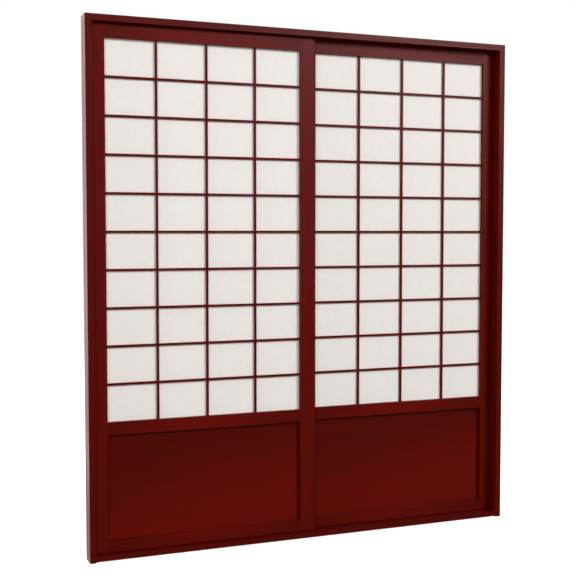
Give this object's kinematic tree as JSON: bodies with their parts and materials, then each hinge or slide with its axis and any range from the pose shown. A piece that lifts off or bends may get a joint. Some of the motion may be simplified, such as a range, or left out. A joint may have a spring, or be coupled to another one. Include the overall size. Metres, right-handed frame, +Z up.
{
  "type": "pair of shoji sliding panels in their frame",
  "caption": "Pair of sliding lattice screens with paper above and a wooden board below, running in the grooves of a slim wooden frame that fixes into an opening.",
  "frame": {"origin": "on the floor under the middle of the frame, midway across its width and midway through its depth", "axes": "+X across the opening towards the right panel, +Y through the opening from the lattice side to the paper side, +Z up"},
  "size_m": [1.83, 0.075, 2.078],
  "materials": {
    "frame_wood": "dark red stained and lacquered, satin",
    "panel_wood": "dark red stained and lacquered, satin",
    "lattice_wood": "dark red stained and lacquered, satin",
    "board_wood": "dark red veneered board, satin lacquer",
    "paper": "white translucent shoji paper, matte",
    "screw_steel": "plain zinc-plated steel"
  },
  "bodies": {
    "frame": {"left_jamb": "frame_wood", "right_jamb": "frame_wood", "head": "frame_wood", "sill": "frame_wood", "left_screws": "screw_steel", "right_screws": "screw_steel"},
    "left_panel": {"left_outer_stile": "panel_wood", "left_meeting_stile": "panel_wood", "left_top_rail": "panel_wood", "left_mid_rail": "panel_wood", "left_bottom_rail": "panel_wood", "left_lower_board": "board_wood", "left_paper": "paper", "left_upright_bar_1": "lattice_wood", "left_upright_bar_2": "lattice_wood", "left_upright_bar_3": "lattice_wood", "left_cross_bar_1": "lattice_wood", "left_cross_bar_2": "lattice_wood", "left_cross_bar_3": "lattice_wood", "left_cross_bar_4": "lattice_wood", "left_cross_bar_5": "lattice_wood", "left_cross_bar_6": "lattice_wood", "left_cross_bar_7": "lattice_wood", "left_cross_bar_8": "lattice_wood", "left_cross_bar_9": "lattice_wood"},
    "right_panel": {"right_outer_stile": "panel_wood", "right_meeting_stile": "panel_wood", "right_top_rail": "panel_wood", "right_mid_rail": "panel_wood", "right_bottom_rail": "panel_wood", "right_lower_board": "board_wood", "right_paper": "paper", "right_upright_bar_1": "lattice_wood", "right_upright_bar_2": "lattice_wood", "right_upright_bar_3": "lattice_wood", "right_cross_bar_1": "lattice_wood", "right_cross_bar_2": "lattice_wood", "right_cross_bar_3": "lattice_wood", "right_cross_bar_4": "lattice_wood", "right_cross_bar_5": "lattice_wood", "right_cross_bar_6": "lattice_wood", "right_cross_bar_7": "lattice_wood", "right_cross_bar_8": "lattice_wood", "right_cross_bar_9": "lattice_wood"}
  },
  "joints": [
    {"name": "left_panel_slide", "type": "slide", "parent": "frame", "child": "left_panel", "axis": [1, 0, 0], "range_m": [0, 0.865]},
    {"name": "right_panel_slide", "type": "slide", "parent": "frame", "child": "right_panel", "axis": [1, 0, 0], "range_m": [-0.865, 0]}
  ]
}
